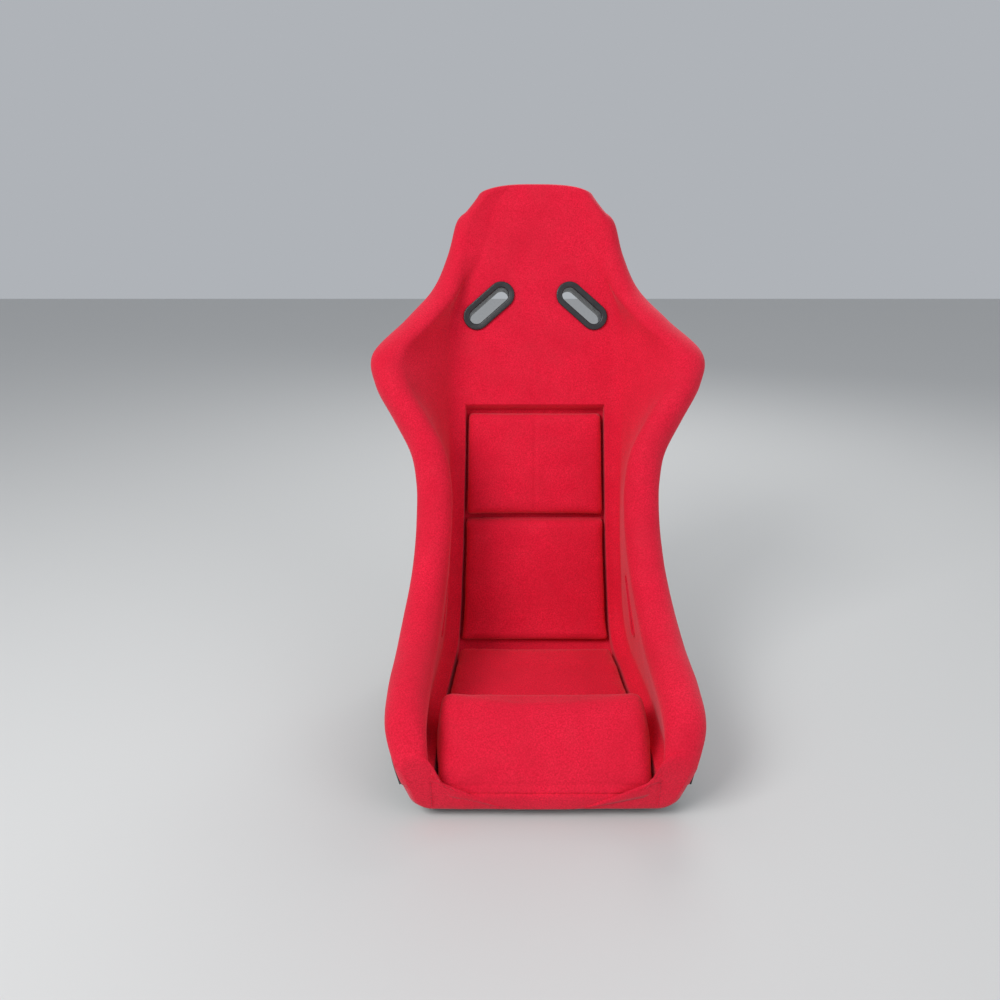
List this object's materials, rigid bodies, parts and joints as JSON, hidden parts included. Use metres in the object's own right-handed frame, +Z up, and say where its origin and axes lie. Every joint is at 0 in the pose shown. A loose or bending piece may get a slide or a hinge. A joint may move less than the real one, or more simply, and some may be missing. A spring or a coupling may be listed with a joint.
{
  "type": "racing seat",
  "caption": "Fixed-back bucket racing seat: fibreglass shell, fabric-covered foam bolsters, loose pads, shoulder and lap harness slots, threaded side mounts.",
  "frame": {"origin": "middle of the flat sole under the seat, on the floor", "axes": "+X to the occupant's left, the seat faces -Y, +Z up"},
  "size_m": [0.5894, 0.6966, 0.885],
  "materials": {
    "red_fabric": "red knitted upholstery fabric, matte with a soft sheen",
    "grey_foam": "open-cell polyurethane foam",
    "black_gelcoat": "black gelcoat on glass-fibre laminate",
    "black_plastic": "moulded black plastic, satin",
    "black_rubber": "black rubber piping",
    "zinc_steel": "zinc-plated steel",
    "black_tape": "woven black hook-and-loop tape"
  },
  "bodies": {
    "seat": {"back_foam": "grey_foam", "base_foam": "grey_foam", "bezel_screw_left_1": "zinc_steel", "bezel_screw_left_2": "zinc_steel", "bezel_screw_right_1": "zinc_steel", "bezel_screw_right_2": "zinc_steel", "edge_welt_left": "black_rubber", "edge_welt_right": "black_rubber", "front_bezel_left": "black_plastic", "front_bezel_right": "black_plastic", "head_foam": "grey_foam", "lining_cover": "red_fabric", "lower_back_pad_loop_strip": "black_tape", "mount_plate_left": "zinc_steel", "mount_plate_right": "zinc_steel", "rear_bezel_left": "black_plastic", "rear_bezel_right": "black_plastic", "rear_seat_pad_loop_strip": "black_tape", "shell": "black_gelcoat", "shoulder_bolster_foam_left": "grey_foam", "shoulder_bolster_foam_right": "grey_foam", "thigh_bolster_foam_left": "grey_foam", "thigh_bolster_foam_right": "grey_foam", "thigh_pad_loop_strip": "black_tape", "upper_back_pad_loop_strip": "black_tape", "weld_nut_left_front": "zinc_steel", "weld_nut_left_rear": "zinc_steel", "weld_nut_right_front": "zinc_steel", "weld_nut_right_rear": "zinc_steel"},
    "thigh_pad": {"thigh_pad_core": "grey_foam", "thigh_pad_cover": "red_fabric", "thigh_pad_hook_strip": "black_tape"},
    "rear_seat_pad": {"rear_seat_pad_core": "grey_foam", "rear_seat_pad_cover": "red_fabric", "rear_seat_pad_hook_strip": "black_tape"},
    "lower_back_pad": {"lower_back_pad_core": "grey_foam", "lower_back_pad_cover": "red_fabric", "lower_back_pad_hook_strip": "black_tape"},
    "upper_back_pad": {"upper_back_pad_core": "grey_foam", "upper_back_pad_cover": "red_fabric", "upper_back_pad_hook_strip": "black_tape"}
  },
  "joints": [
    {"name": "thigh_pad_lift", "type": "slide", "parent": "seat", "child": "thigh_pad", "axis": [0, 0, 1], "range_m": [0, 0.26]},
    {"name": "rear_seat_pad_lift", "type": "slide", "parent": "seat", "child": "rear_seat_pad", "axis": [0, 0, 1], "range_m": [0, 0.26]},
    {"name": "lower_back_pad_lift", "type": "slide", "parent": "seat", "child": "lower_back_pad", "axis": [0, -0.9563, 0.2924], "range_m": [0, 0.09]},
    {"name": "upper_back_pad_lift", "type": "slide", "parent": "seat", "child": "upper_back_pad", "axis": [0, -0.9563, 0.2924], "range_m": [0, 0.09]}
  ]
}
